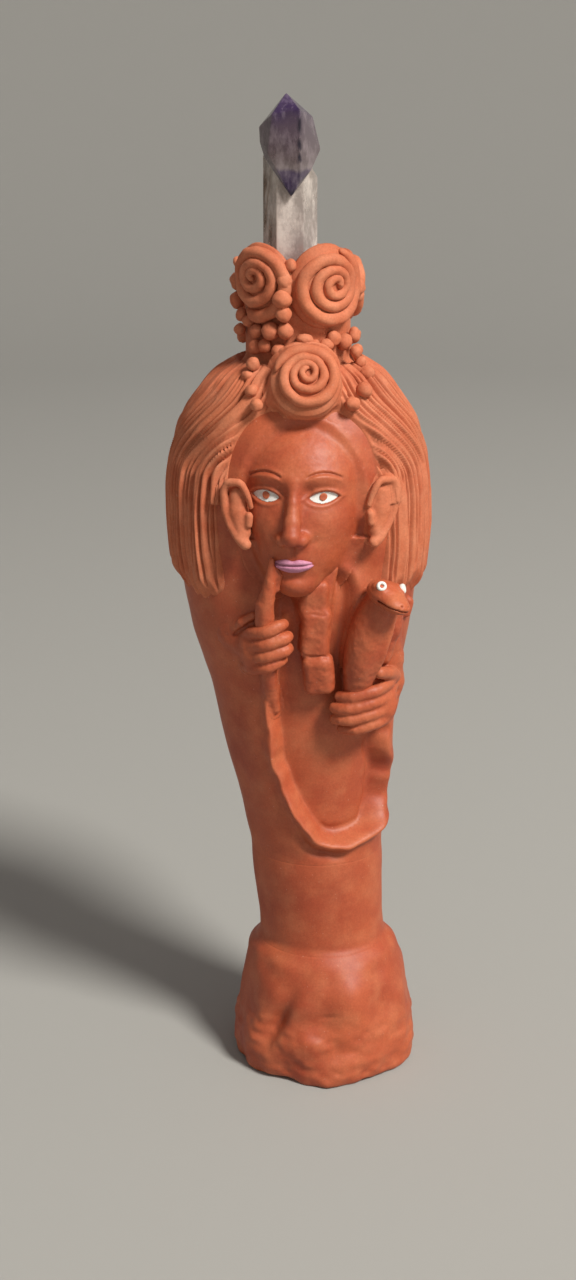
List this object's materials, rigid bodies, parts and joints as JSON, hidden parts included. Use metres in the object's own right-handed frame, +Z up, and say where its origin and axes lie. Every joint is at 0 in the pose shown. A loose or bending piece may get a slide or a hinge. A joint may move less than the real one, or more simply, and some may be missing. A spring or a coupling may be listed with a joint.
{
  "type": "clay figure with lift-out crystal",
  "caption": "Standing hand-built clay figure of a mantled woman holding a serpent, with an open crown of rolled flowers and balls that a tall crystal point stands in.",
  "frame": {"origin": "middle of the foot's flat underside, on the surface it stands on", "axes": "+Z up, -Y is where the figure faces, +X is the figure's left"},
  "size_m": [0.0914, 0.0774, 0.3493],
  "materials": {
    "terracotta": "unglazed, burnished by hand",
    "terracotta_light": "unglazed, burnished by hand",
    "lip_paint": "matt paint over clay",
    "bead": "glossy ring bead",
    "quartz": "natural crystal faces, clear with veils",
    "amethyst": "natural crystal faces, violet"
  },
  "bodies": {
    "figure": {"base_slab": "terracotta", "foot_shell": "terracotta", "trunk_shell": "terracotta", "mantle_shell": "terracotta", "torso_panel": "terracotta", "hem_roll": "terracotta", "head": "terracotta", "nose": "terracotta", "right_ear": "terracotta", "left_ear": "terracotta", "neck": "terracotta", "pectoral": "terracotta", "pectoral_end": "terracotta", "hair_right": "terracotta", "hair_left": "terracotta", "hair_back": "terracotta", "right_hand": "terracotta", "left_hand": "terracotta", "serpent_tail": "terracotta", "serpent_head": "terracotta", "serpent_neck": "terracotta", "left_forearm": "terracotta", "right_cuff": "terracotta", "crown_ring": "terracotta", "crystal_seat": "terracotta", "forehead_rose_pad": "terracotta", "crown_ball_01": "terracotta", "crown_ball_02": "terracotta", "crown_ball_03": "terracotta", "crown_ball_04": "terracotta", "crown_ball_05": "terracotta", "crown_ball_06": "terracotta", "crown_ball_07": "terracotta", "crown_ball_08": "terracotta", "crown_ball_09": "terracotta", "crown_ball_10": "terracotta", "crown_ball_11": "terracotta", "crown_ball_12": "terracotta", "crown_ball_13": "terracotta", "hair_ball_01": "terracotta", "hair_ball_02": "terracotta", "hair_ball_03": "terracotta", "hair_ball_04": "terracotta", "hair_ball_05": "terracotta", "hair_ball_06": "terracotta", "crown_rose_right": "terracotta_light", "crown_rose_left": "terracotta_light", "crown_rose_back_left": "terracotta_light", "crown_rose_back_right": "terracotta_light", "forehead_rose": "terracotta_light", "lips": "lip_paint", "serpent_eye_right": "bead", "serpent_eye_left": "bead"},
    "crystal": {"quartz_stem": "quartz", "amethyst_head": "amethyst"}
  },
  "joints": [
    {"name": "crystal_lift", "type": "slide", "parent": "figure", "child": "crystal", "axis": [0, 0, 1], "range_m": [0, 0.05]}
  ]
}
